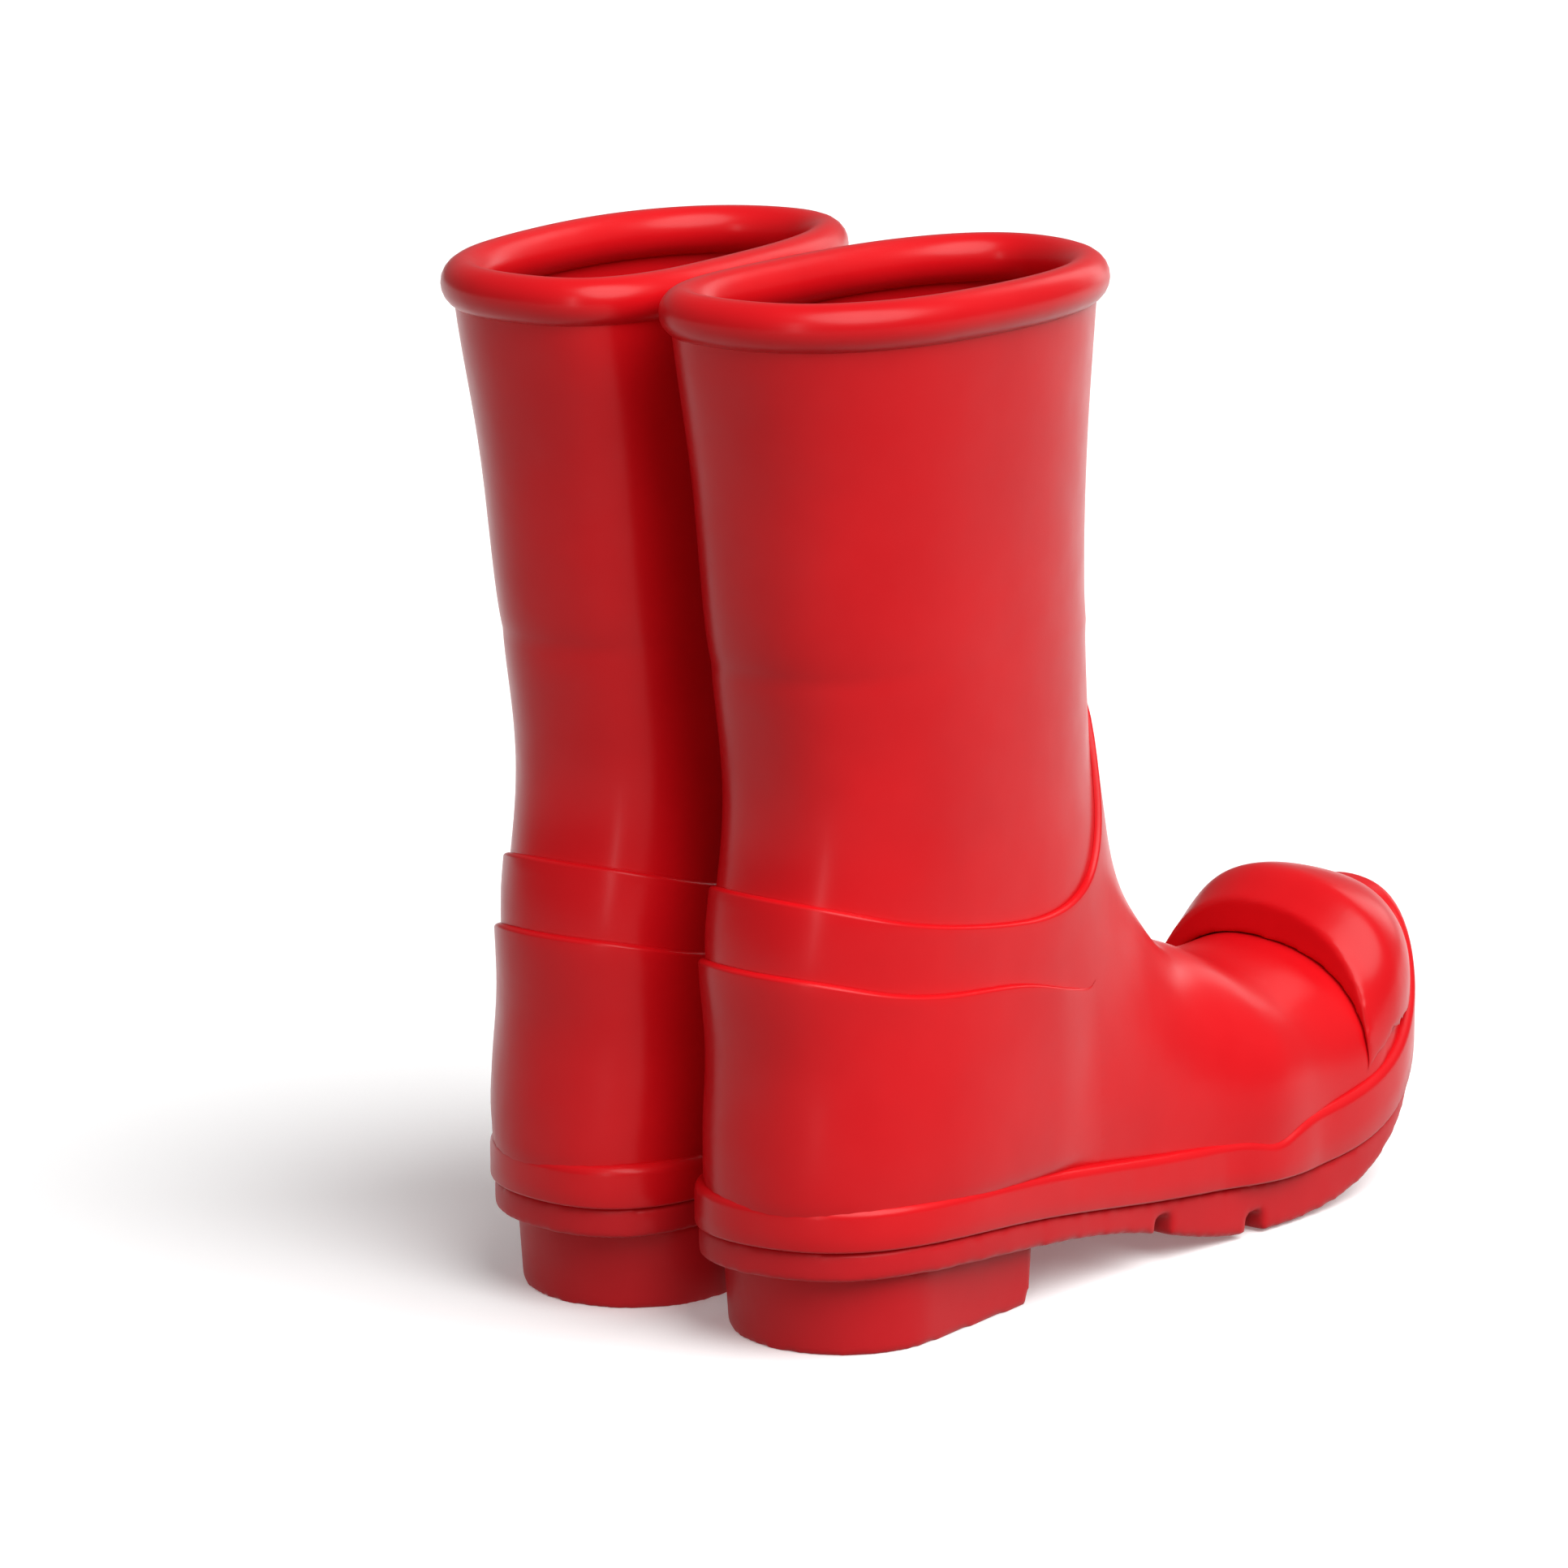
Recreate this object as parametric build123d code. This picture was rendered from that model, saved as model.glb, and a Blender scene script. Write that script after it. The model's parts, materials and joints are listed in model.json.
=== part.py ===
from build123d import *
import math
import os

# A pair of rubber rain boots standing side by side, in millimetres.
# Toes point to -Y, heels to +Y, up is +Z, and the plane X = 0 runs between the two boots.
# The origin is on the ground, in the middle of the space that the pair covers.
# Each boot is drawn once in its own place: local +X is its outer (lateral) side, local X = 0 its
# middle plane. It is then set beside the plane X = 0 as the left boot and mirrored as the right.

# ---------------------------------------------------------------- driving dimensions
HALF_SPACING = 39.0      # from the plane between the boots to the middle of one boot
TOE_OUT = 3.5            # degrees that each boot turns its toe away from the other
TURNING_POINT = 85.0     # where on its middle plane each boot turns
TOE_TIP = -157.0         # foremost point of the sole
TOP_HEIGHT = 303.0       # height of the middle of the rolled rim
RIM_RADIUS = 7.5         # radius of the rolled rim
RIM_SET_IN = 3.7         # how far the middle of the rim lies inside the outer face of the leg
LEG_WALL = 2.4           # rubber of the leg
OVERLAY = 1.95           # thickness of each rubber overlay: foot shell, then heel counter
LAYER_GAP = 0.05         # clearance between two layers that lie on each other
LINING = 1.4             # textile lining
FACING_DEPTH = 38.0      # rubber facing band inside the mouth
HEEL_HEIGHT = 24.0       # ground to the underside of the outsole at the heel
BOARD = 2.0              # insole board
INSOLE = 4.5             # removable foam insole
INSOLE_WIDTH = 0.96      # share of the lining's inner width that the insole fills
INSOLE_LENGTH = 0.985    # share of the lining's inner length that it fills
INSOLE_BACK = 133.0      # rear end of the insole, clear of the lining while it is lifted
SHANK_WIDTH = 14.0
SHANK_THICKNESS = 1.6
WIDE = 120.0             # half width of a cutting block, wider than any boot
LONG = 200.0             # length of a cutting block
TALL = 400.0             # height of a cutting block, taller than any boot
PAST = 1.0               # how far a cut runs past the face it opens

# ---------------------------------------------------------------- details
SOCKET_TOP = TOP_HEIGHT - 3.0        # where the leg and the facing end inside the rim
FACING_BOTTOM = SOCKET_TOP - FACING_DEPTH
GROOVE_BOTTOM = TOP_HEIGHT - 12.0    # lower end of the rim's groove, below the rim itself
RIM_ANGLES = (-75, -50, -25, 0, 25, 50, 75)
HEEL_STIFFENER_TOP = 92.0
HEEL_STIFFENER_FRONT = 66.0
TOE_PUFF_BACK = -96.0
CAP_REAR = -92.0                     # rear face of the toe cap
CAP_REAR_TILT = 6.0
CAP_FLOOR_DROP = 10.0                # how far the cap's ovals reach below the top of the outsole
CAP_SQUARENESS = (2.2, 2.1)          # on the outer and the inner side
CAP_STATIONS = [                     # y, top, outer half width, inner half width
    (-153.5, 81, 8, 7), (-150, 84, 20, 16), (-142, 88, 32, 25), (-130, 92, 42, 31.5),
    (-114, 94.5, 48, 35.5), (-98, 92, 50, 37), (-80, 84, 50.5, 37.5)]
OUTSOLE_INSET = 2.0
TREAD_PLACES = (1, -41)
TREAD_WIDTH = 7.0
TREAD_DEPTH = 6.0
HEEL_TOP = HEEL_HEIGHT + 6.0         # before the underside of the outsole trims it
HEEL_BACK = 136.0
HEEL_FRONT = 56.0
HEEL_HALF_WIDTH = 33.0
HEEL_SPREAD = 2.0                    # how much wider the heel is at its top, each way
HEEL_WALL = 7.0
HEEL_FLOOR = 7.0
SHANK_FRONT = -30.0
SHANK_BACK = 92.0
SHANK_SEAT = 1.0                     # rubber sponge left under the shank
FILLER_TOP = 3.0                     # heights above the top of the outsole
BOARD_TOP = FILLER_TOP + LAYER_GAP + BOARD
SOCK_BOTTOM = BOARD_TOP + LAYER_GAP
SOCK_TOP = SOCK_BOTTOM + LINING
INSOLE_LIFT = 0.3
INSOLE_HEEL_RADIUS = 46.0

# ---------------------------------------------------------------- body of the boot
# A station is a closed oval round a line in the middle plane. The line runs from a point at the
# back or sole of the boot to a point at its front or top, so the stations fan round the ankle.
# Each row: back y, z, front y, z, outer half width, inner half width, and how square the oval is
# behind its middle, on its outer and its inner side.
TOE_START = -112.0
TOE_REACH = 38.0
TOE_ROOF = 73.0
TOE_ROOF_RISE = 4.0
TOE_FLOOR_DROP = 20.0
TOE_SQUARENESS = 2.3
TOE_OUTER = 45.0
TOE_INNER = 33.0
TOE_ANGLES = (80, 66, 46, 24)
FRONT_SQUARENESS = 2.25

FOOT_AND_LEG = [
    (-98, 1, -98, 73, 47.0, 33.5, 2.4, 2.4),
    (-65, -5, -72, 74, 47.5, 34.0, 2.5, 2.5),
    (25, 8, -35, 86, 40.0, 31.5, 2.6, 2.7),
    (70, 13, -27, 94.5, 38.3, 31.4, 2.6, 2.8),
    (106, 13, -20, 103.5, 38.0, 31.3, 2.6, 2.9),
    (133, 24, -12.5, 114, 38.0, 31.4, 2.6, 2.9),
    (142.5, 50, -5, 131, 38.0, 32.0, 2.6, 2.9),
    (141.5, 95, 0.5, 153, 37.5, 33.2, 2.5, 2.9),
    (139, 140, 5, 180, 37.5, 33.7, 2.4, 2.9),
    (141.5, 190, 9, 212, 39.5, 33.8, 2.4, 3.0),
    (149.5, 245, 10.5, 252, 42.5, 33.7, 2.4, 3.1),
    (157, 284, 10, 286, 46.0, 33.7, 2.4, 3.2),
    (160.5, TOP_HEIGHT, 9, TOP_HEIGHT, 47.3, 33.7, 2.4, 3.2),
    (163, 318, 8.5, 318, 48.0, 33.7, 2.4, 3.2),
]
MOUTH_STATION = FOOT_AND_LEG[-2]
OVAL_POINTS = 24

# ---------------------------------------------------------------- side profiles, as (y, z)
PROFILE_FRONT = -190.0
PROFILE_BACK = 200.0
SOLE_BOTTOM = [(-175, 92), (-156, 61), (-140, 38), (-110, 14), (-85, 4), (-60, 0.8), (-30, 2),
               (10, 12), (60, 20), (110, 24), (180, 24)]
SOLE_TOP = [(-175, 100), (-156, 70), (-140, 46), (-115, 26), (-80, 17), (-40, 17),
            (10, 22), (60, 29), (110, 33), (180, 34)]
WELT_TOP = [(-175, 106), (-156, 82), (-140, 62), (-115, 44), (-80, 34), (-40, 32),
            (10, 36), (60, 42), (110, 46), (180, 47)]
SHELL_EDGE = [(PROFILE_FRONT, 240), (-40, 240), (-4, 205), (4, 182), (10, 157), (17, 138),
              (27, 126.5), (42, 120.5), (68, 120), (92, 123), (125, 130), (138, 134.5), (180, 140)]
COUNTER_EDGE = [(30, 92), (56, 98), (67, 100.5), (101, 103.5), (131, 108.5), (138, 110.5),
                (180, 114)]
COUNTER_FOOT = [(30, 20), (180, 20)]    # below the top of the welt, which trims it

# ---------------------------------------------------------------- outline of the sole, as (x, y)
SOLE_OUTLINE = [(0, 149), (23, 141.5), (37, 124), (43, 97), (43.5, 60), (44, 15), (47.5, -30),
                (52, -75), (49, -118), (30, -148), (5, TOE_TIP), (-21, -150), (-36.5, -120),
                (-38.5, -75), (-37, -20), (-36.3, 30), (-37, 75), (-36.5, 112), (-25.5, 140.5)]


def power(value, exponent):
    """Raise the size of a value to an exponent and keep its sign."""
    return math.copysign(abs(value) ** exponent, value)


def closed_curve(points):
    """Smooth closed curve through points, evenly spaced in its parameter."""
    steps = [step / len(points) for step in range(len(points) + 1)]
    vectors = [Vector(*point) for point in points]
    return Wire([Edge.make_spline(vectors, parameters=steps, periodic=True)])


def oval(station, grow):
    """Closed oval of one station, grown outwards by the same distance all round."""
    back_y, back_z, front_y, front_z, outer, inner, outer_square, inner_square = station
    length = math.hypot(front_y - back_y, front_z - back_z)
    along = ((front_y - back_y) / length, (front_z - back_z) / length)
    middle = ((front_y + back_y) / 2, (front_z + back_z) / 2)
    half = length / 2 + grow
    points = []
    for step in range(OVAL_POINTS):
        angle = 2 * math.pi * step / OVAL_POINTS
        behind = outer_square if math.sin(angle) > 0 else inner_square
        squareness = FRONT_SQUARENESS if math.cos(angle) > 0 else behind
        reach = half * power(math.cos(angle), 2 / squareness)
        side = power(math.sin(angle), 2 / squareness)
        width = outer + grow if side > 0 else inner + grow
        points.append((side * width, middle[0] + reach * along[0], middle[1] + reach * along[1]))
    return closed_curve(points)


def toe_stations(grow):
    """Upright ovals that close the toe: their width follows a quarter of an ellipse."""
    stations = []
    for angle in TOE_ANGLES:
        turn = math.radians(angle)
        y = TOE_START - (TOE_REACH + grow) * math.sin(turn)
        floor = height_at(SOLE_TOP, y) - TOE_FLOOR_DROP * math.cos(turn)
        top = TOE_ROOF + TOE_ROOF_RISE * math.sin(turn)
        widths = [(width + grow) * math.cos(turn) - grow for width in (TOE_OUTER, TOE_INNER)]
        stations.append((y, floor, y, top, *widths, TOE_SQUARENESS, TOE_SQUARENESS))
    return stations


def height_at(profile, y):
    """Height of a side profile at y, straight between its points."""
    for (y0, z0), (y1, z1) in zip(profile, profile[1:]):
        if y0 <= y <= y1:
            return z0 + (z1 - z0) * (y - y0) / (y1 - y0)
    raise ValueError("y lies outside the profile")


def body(grow):
    """The whole boot as one solid, grown outwards from the outer face of the leg."""
    stations = toe_stations(grow) + FOOT_AND_LEG
    return Solid.make_loft([oval(station, grow) for station in stations])


def profile_curve(points):
    """A side profile as a straight line between two points, or a smooth curve through more."""
    corners = [(0, y, z) for y, z in points]
    return Line(*corners) if len(corners) == 2 else Spline(corners)


def side_block(points_above, points_below):
    """A block as wide as the boot, between two side profiles."""
    upper = profile_curve(points_above)
    lower = profile_curve(points_below)
    ends = [Line(upper @ 0, lower @ 0), Line(upper @ 1, lower @ 1)]
    face = Face(Wire([upper.edge(), lower.edge(), ends[0].edge(), ends[1].edge()]))
    return Pos(-WIDE, 0, 0) * extrude(face, 2 * WIDE, dir=(1, 0, 0))


def raised(profile, lift):
    """A side profile moved up."""
    return [(y, z + lift) for y, z in profile]


def wall(outer_grow, inner_grow):
    """A layer of the boot between two grown bodies."""
    return body(outer_grow) - body(inner_grow)


def outline_face(inset):
    """Outline of the sole, drawn in by a distance all round."""
    points = []
    count = len(SOLE_OUTLINE)
    for index, (x, y) in enumerate(SOLE_OUTLINE):
        x0, y0 = SOLE_OUTLINE[index - 1]
        x1, y1 = SOLE_OUTLINE[(index + 1) % count]
        length = math.hypot(x1 - x0, y1 - y0)
        points.append((x + inset * (y1 - y0) / length, y - inset * (x1 - x0) / length, 0))
    return Face(closed_curve(points))


def sole_slab(inset, below, above):
    """A slab with the outline of the sole, between two side profiles."""
    prism = Pos(0, 0, -TALL / 2) * extrude(outline_face(inset), TALL, dir=(0, 0, 1))
    return prism & side_block(above, below)


def level(z):
    """A flat side profile."""
    return [(PROFILE_FRONT, z), (PROFILE_BACK, z)]


# ---------------------------------------------------------------- outer rubber
def leg_shaft():
    """Leg and inner upper: open below, with the heel and toe left out for the stiffeners."""
    layer = wall(0, -LEG_WALL) & side_block(level(SOCKET_TOP), raised(SOLE_TOP, LAYER_GAP))
    return layer - heel_zone(LAYER_GAP) - toe_zone(LAYER_GAP)


def heel_zone(grow):
    """Where the heel stiffener lies in the inner upper."""
    top = HEEL_STIFFENER_TOP + grow
    return Pos(0, HEEL_STIFFENER_FRONT - grow, 0) * Box(
        2 * WIDE, LONG, 2 * top, align=(Align.CENTER, Align.MIN, Align.CENTER))


def toe_zone(grow):
    """Where the toe puff lies in the inner upper."""
    return Pos(0, TOE_PUFF_BACK + grow, 0) * Box(
        2 * WIDE, LONG, TALL, align=(Align.CENTER, Align.MAX, Align.CENTER))


def heel_stiffener():
    """Firm cup round the heel, between the outer rubber and the lining."""
    layer = wall(0, -LEG_WALL) & side_block(level(HEEL_STIFFENER_TOP), raised(SOLE_TOP, LAYER_GAP))
    return layer & heel_zone(0)


def toe_puff():
    """Firm cap over the toes, between the outer rubber and the lining."""
    layer = wall(0, -LEG_WALL) & side_block(level(TOP_HEIGHT), raised(SOLE_TOP, LAYER_GAP))
    return layer & toe_zone(0)


def foot_shell():
    """Outer rubber of the foot and ankle, whose top edge steps down to the leg."""
    layer = wall(LAYER_GAP + OVERLAY, LAYER_GAP)
    return layer & side_block(SHELL_EDGE, raised(SOLE_TOP, LAYER_GAP))


def heel_counter():
    """Second overlay round the heel, which ends above the welt."""
    layer = wall(2 * (LAYER_GAP + OVERLAY), 2 * LAYER_GAP + OVERLAY)
    overlay = layer & side_block(COUNTER_EDGE, COUNTER_FOOT)
    return overlay - side_block(raised(WELT_TOP, LAYER_GAP), level(0))


def toe_cap():
    """Domed cap over the toe, with a steep rear face across the vamp."""
    stations = []
    for y, top, outer, inner in CAP_STATIONS:
        floor = height_at(SOLE_TOP, y) - CAP_FLOOR_DROP
        stations.append((y, floor, y, top, outer, inner, *CAP_SQUARENESS))
    dome = Solid.make_loft([oval(station, 0) for station in stations])
    dome = dome - body(2 * LAYER_GAP + OVERLAY)
    above_welt = side_block(level(TOP_HEIGHT), raised(WELT_TOP, LAYER_GAP))
    rear = Pos(0, CAP_REAR, 0) * Rot(CAP_REAR_TILT, 0, 0) * Box(
        2 * WIDE, LONG, TALL, align=(Align.CENTER, Align.MAX, Align.CENTER))
    return largest(dome & above_welt & rear)


def largest(shape):
    """The largest solid of a shape."""
    return max(shape.solids(), key=lambda solid: solid.volume)


def ring_stack(side):
    """Rounded stack of ovals: side 1 is the outer half of the rim, side -1 its bore."""
    wires = []
    for angle in RIM_ANGLES:
        turn = math.radians(angle)
        grow = side * RIM_RADIUS * math.cos(turn) - RIM_SET_IN
        lift = RIM_RADIUS * math.sin(turn)
        back_y, _, front_y, _, *shape = MOUTH_STATION
        z = TOP_HEIGHT + lift
        wires.append(oval((back_y, z, front_y, z, *shape), grow))
    return Solid.make_loft(wires)


def rolled_rim():
    """Thick rolled rim, grooved below for the leg and the facing."""
    groove = wall(LAYER_GAP, -LEG_WALL - LINING - 2 * LAYER_GAP)
    groove = groove & side_block(level(SOCKET_TOP + LAYER_GAP), level(GROOVE_BOTTOM))
    return ring_stack(1) - ring_stack(-1) - groove


def welt():
    """Foxing band round the foot, from the outsole up to its rounded edge."""
    slab = sole_slab(0, raised(SOLE_TOP, LAYER_GAP), WELT_TOP)
    return largest(slab - body(2 * LAYER_GAP + OVERLAY))


def outsole():
    """Outsole under the whole foot, with grooves across the forefoot."""
    slab = sole_slab(OUTSOLE_INSET, SOLE_BOTTOM, SOLE_TOP)
    for y in TREAD_PLACES:
        depth = height_at(SOLE_BOTTOM, y) + TREAD_DEPTH
        slab -= Pos(0, y, 0) * Box(
            2 * WIDE, TREAD_WIDTH, 2 * depth, align=(Align.CENTER, Align.CENTER, Align.CENTER))
    return slab


def heel_outline(inset, spread, z):
    """Straight-fronted, round-backed outline of the heel."""
    half = HEEL_HALF_WIDTH - inset + spread
    front = HEEL_FRONT + inset - spread
    centre = HEEL_BACK - HEEL_HALF_WIDTH
    edges = [
        Line((-half, front, z), (half, front, z)),
        Line((half, front, z), (half, centre, z)),
        ThreePointArc((half, centre, z), (0, centre + half, z), (-half, centre, z)),
        Line((-half, centre, z), (-half, front, z)),
    ]
    return Wire([edge.edge() for edge in edges])


def heel_body(inset, bottom):
    """Heel up to the underside of the outsole, a little wider at the top."""
    prism = Solid.make_loft([heel_outline(inset, HEEL_SPREAD * bottom / HEEL_TOP, bottom),
                             heel_outline(inset, HEEL_SPREAD, HEEL_TOP)], ruled=True)
    return prism & side_block(raised(SOLE_BOTTOM, -LAYER_GAP), level(bottom - PAST))


def heel_block():
    """Rubber heel, hollow from above for its core."""
    return heel_body(0, 0) - heel_body(HEEL_WALL - LAYER_GAP, HEEL_FLOOR - LAYER_GAP)


def heel_core():
    """Light filler inside the heel."""
    return heel_body(HEEL_WALL, HEEL_FLOOR)


# ---------------------------------------------------------------- inside the boot
def floor_layer(grow, low, high):
    """A layer that follows the top of the outsole inside the boot."""
    return body(grow) & side_block(raised(SOLE_TOP, high), raised(SOLE_TOP, low))


def shank_block(low, high, play):
    """Strip along the arch, between two heights above the outsole."""
    strip = side_block(raised(SOLE_TOP, high), raised(SOLE_TOP, low))
    length = SHANK_BACK - SHANK_FRONT
    middle = (SHANK_BACK + SHANK_FRONT) / 2
    return strip & Pos(0, middle, 0) * Box(SHANK_WIDTH + 2 * play, length + 2 * play, TALL)


def midsole_filler():
    """Rubber sponge under the insole board, cut out for the shank."""
    sponge = floor_layer(-LEG_WALL - LAYER_GAP, LAYER_GAP, FILLER_TOP)
    return sponge - shank_block(SHANK_SEAT - LAYER_GAP, FILLER_TOP + PAST, LAYER_GAP)


def arch_shank():
    """Steel strip that carries the arch between the heel and the forefoot."""
    return shank_block(SHANK_SEAT, SHANK_SEAT + SHANK_THICKNESS, 0)


def insole_board():
    """Stiff board on which the upper is lasted."""
    return floor_layer(-LEG_WALL - LAYER_GAP, FILLER_TOP + LAYER_GAP, BOARD_TOP)


def lining():
    """Textile sock: walls and a bottom that lies on the board."""
    outside = body(-LEG_WALL - LAYER_GAP)
    outside = outside & side_block(level(FACING_BOTTOM - LAYER_GAP), raised(SOLE_TOP, SOCK_BOTTOM))
    inside = body(-LEG_WALL - LAYER_GAP - LINING)
    return outside - (inside & side_block(level(TALL), raised(SOLE_TOP, SOCK_TOP)))


def mouth_facing():
    """Rubber band inside the mouth, between the rim and the textile."""
    layer = wall(-LEG_WALL - LAYER_GAP, -LEG_WALL - LAYER_GAP - LINING)
    return layer & side_block(level(SOCKET_TOP), level(FACING_BOTTOM))


def insole():
    """Removable foam insole, loose inside the lining, with a round heel end."""
    room = body(-LEG_WALL - LAYER_GAP - LINING)
    low = raised(SOLE_TOP, SOCK_TOP + INSOLE_LIFT)
    high = raised(SOLE_TOP, SOCK_TOP + INSOLE_LIFT + INSOLE)
    layer = scale(room, by=(INSOLE_WIDTH, INSOLE_LENGTH, 1)) & side_block(high, low)
    centre = INSOLE_BACK - INSOLE_HEEL_RADIUS
    heel_end = Pos(0, centre, 0) * Cylinder(INSOLE_HEEL_RADIUS, TOP_HEIGHT)
    front = Pos(0, centre, 0) * Box(
        2 * INSOLE_HEEL_RADIUS, INSOLE_BACK - TOE_TIP, TOP_HEIGHT,
        align=(Align.CENTER, Align.MAX, Align.CENTER))
    return layer & (front + heel_end)


PIECES = {
    "leg_shaft": leg_shaft,
    "rolled_rim": rolled_rim,
    "mouth_facing": mouth_facing,
    "foot_shell": foot_shell,
    "heel_counter": heel_counter,
    "toe_cap": toe_cap,
    "welt": welt,
    "outsole": outsole,
    "heel_block": heel_block,
    "heel_core": heel_core,
    "midsole_filler": midsole_filler,
    "arch_shank": arch_shank,
    "insole_board": insole_board,
    "heel_stiffener": heel_stiffener,
    "toe_puff": toe_puff,
    "lining": lining,
    "insole": insole,
}

os.makedirs("parts", exist_ok=True)
beside = Pos(HALF_SPACING, TURNING_POINT, 0) * Rot(0, 0, TOE_OUT) * Pos(0, -TURNING_POINT, 0)
left_boot = {name: beside * make() for name, make in PIECES.items()}
rearmost = left_boot["rolled_rim"].bounding_box().max.Y
foremost = left_boot["welt"].bounding_box().min.Y
middle = Pos(0, -(rearmost + foremost) / 2, 0)
for name, piece in left_boot.items():
    left = middle * piece
    export_step(left, f"parts/left_{name}.step")
    export_step(left.mirror(Plane.YZ), f"parts/right_{name}.step")
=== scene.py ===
import json
import math

import bmesh
import bpy
import numpy as np
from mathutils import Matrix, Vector
from mathutils.bvhtree import BVHTree


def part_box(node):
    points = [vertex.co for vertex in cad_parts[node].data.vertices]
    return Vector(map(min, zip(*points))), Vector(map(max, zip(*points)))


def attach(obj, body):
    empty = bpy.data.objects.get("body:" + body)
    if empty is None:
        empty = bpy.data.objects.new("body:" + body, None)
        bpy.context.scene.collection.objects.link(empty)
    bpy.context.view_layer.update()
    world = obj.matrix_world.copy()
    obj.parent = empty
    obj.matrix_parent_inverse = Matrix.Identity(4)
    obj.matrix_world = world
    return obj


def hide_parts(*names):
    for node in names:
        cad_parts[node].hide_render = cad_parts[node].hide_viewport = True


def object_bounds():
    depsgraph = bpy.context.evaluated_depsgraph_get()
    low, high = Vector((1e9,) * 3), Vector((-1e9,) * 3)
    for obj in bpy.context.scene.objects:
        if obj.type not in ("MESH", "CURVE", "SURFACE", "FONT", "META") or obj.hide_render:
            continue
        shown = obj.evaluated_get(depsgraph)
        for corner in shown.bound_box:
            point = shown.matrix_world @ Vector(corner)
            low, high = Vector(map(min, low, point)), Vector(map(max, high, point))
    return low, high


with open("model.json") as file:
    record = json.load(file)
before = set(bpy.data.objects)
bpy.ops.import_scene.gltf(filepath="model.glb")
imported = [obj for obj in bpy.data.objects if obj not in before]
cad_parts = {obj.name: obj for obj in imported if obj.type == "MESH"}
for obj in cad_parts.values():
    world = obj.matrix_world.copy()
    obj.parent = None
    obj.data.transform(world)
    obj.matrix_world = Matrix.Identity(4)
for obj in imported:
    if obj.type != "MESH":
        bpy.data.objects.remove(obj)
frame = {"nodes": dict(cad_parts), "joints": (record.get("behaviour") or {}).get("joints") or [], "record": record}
cad_low, cad_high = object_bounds()

# A pair of glossy rubber rain boots, in metres, in the row frame: toes to -Y, up is +Z.
# The layered rubber is drawn as smooth rings sampled from the CAD nodes. The rim and the band are swept
# round it, and the other mouldings are remeshed from their nodes, so that every edge is soft. The left
# boot is made and mirrored for the right.

MM = 0.001
UP = Vector((0, 0, 1))


# ---------------------------------------------------------------- camera, floor and lights
CAMERA_AZIMUTH = math.radians(215.5)     # behind the pair, on the right boot's outer side
CAMERA_ELEVATION = math.radians(13.6)
CAMERA_DISTANCE = 2.0
CAMERA_LENS = 156.5
AIM_ACROSS = -0.0015                     # the aim point, from the middle of the pair's box
AIM_BACK = 0.077
AIM_UP = -0.0028

camera_back = Vector((
    math.sin(CAMERA_AZIMUTH) * math.cos(CAMERA_ELEVATION),
    -math.cos(CAMERA_AZIMUTH) * math.cos(CAMERA_ELEVATION),
    math.sin(CAMERA_ELEVATION)))
camera_right = Vector((math.cos(CAMERA_AZIMUTH), math.sin(CAMERA_AZIMUTH), 0))
camera_up = camera_back.cross(camera_right)
box_middle = (cad_low + cad_high) / 2
aim = box_middle + Vector((AIM_ACROSS, AIM_BACK, AIM_UP))


def make_camera():
    data = bpy.data.cameras.new("camera")
    data.lens = CAMERA_LENS
    data.clip_end = 20
    camera = bpy.data.objects.new("camera", data)
    bpy.context.scene.collection.objects.link(camera)
    camera.location = aim + camera_back * CAMERA_DISTANCE
    camera.rotation_mode = "QUATERNION"
    camera.rotation_quaternion = (-camera_back).to_track_quat("-Z", "Y")
    bpy.context.scene.camera = camera


def soft_box(name, across, up, back, width, height, power):
    """An area light that faces the pair, placed in the camera's right, up and back directions."""
    data = bpy.data.lights.new(name, "AREA")
    data.shape = "RECTANGLE"
    data.size = width
    data.size_y = height
    data.energy = power
    light = bpy.data.objects.new(name, data)
    bpy.context.scene.collection.objects.link(light)
    light.location = box_middle + camera_right * across + camera_up * up + camera_back * back
    light.rotation_mode = "QUATERNION"
    light.rotation_quaternion = (box_middle - light.location).to_track_quat("-Z", "Y")


def sun(name, across, up, back, power, angle):
    """Even light from one direction, given in the camera's right, up and back directions."""
    data = bpy.data.lights.new(name, "SUN")
    data.energy = power
    data.angle = math.radians(angle)
    light = bpy.data.objects.new(name, data)
    bpy.context.scene.collection.objects.link(light)
    towards = camera_right * across + Vector((0, 0, up)) + camera_back * back
    light.location = box_middle + towards
    light.rotation_mode = "QUATERNION"
    light.rotation_quaternion = (-towards).to_track_quat("-Z", "Y")


def make_lights():
    sun("key_sun", across=0.55, up=0.80, back=0.52, power=3.5, angle=55)
    soft_box("strip_box", across=-0.35, up=0.1, back=2.2, width=0.12, height=1.6, power=6)
    soft_box("rim_box", across=0.9, up=0.9, back=-1.0, width=0.5, height=1.2, power=3)
    world = bpy.data.worlds.new("studio")
    world.use_nodes = True
    background = world.node_tree.nodes["Background"]
    background.inputs["Color"].default_value = (1, 1, 1, 1)
    background.inputs["Strength"].default_value = 0.26
    bpy.context.scene.world = world
    bpy.context.scene.view_settings.view_transform = "Standard"


def make_floor():
    reach = 9.0
    corners = [(-reach, -reach, 0), (reach, -reach, 0), (reach, reach, 0), (-reach, reach, 0)]
    mesh = bpy.data.meshes.new("floor")
    mesh.from_pydata(corners, [], [(0, 1, 2, 3)])
    floor = bpy.data.objects.new("floor", mesh)
    bpy.context.scene.collection.objects.link(floor)
    floor.data.materials.append(floor_paper())
    floor.visible_diffuse = False        # the paper doesn't light the boots from below


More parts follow.
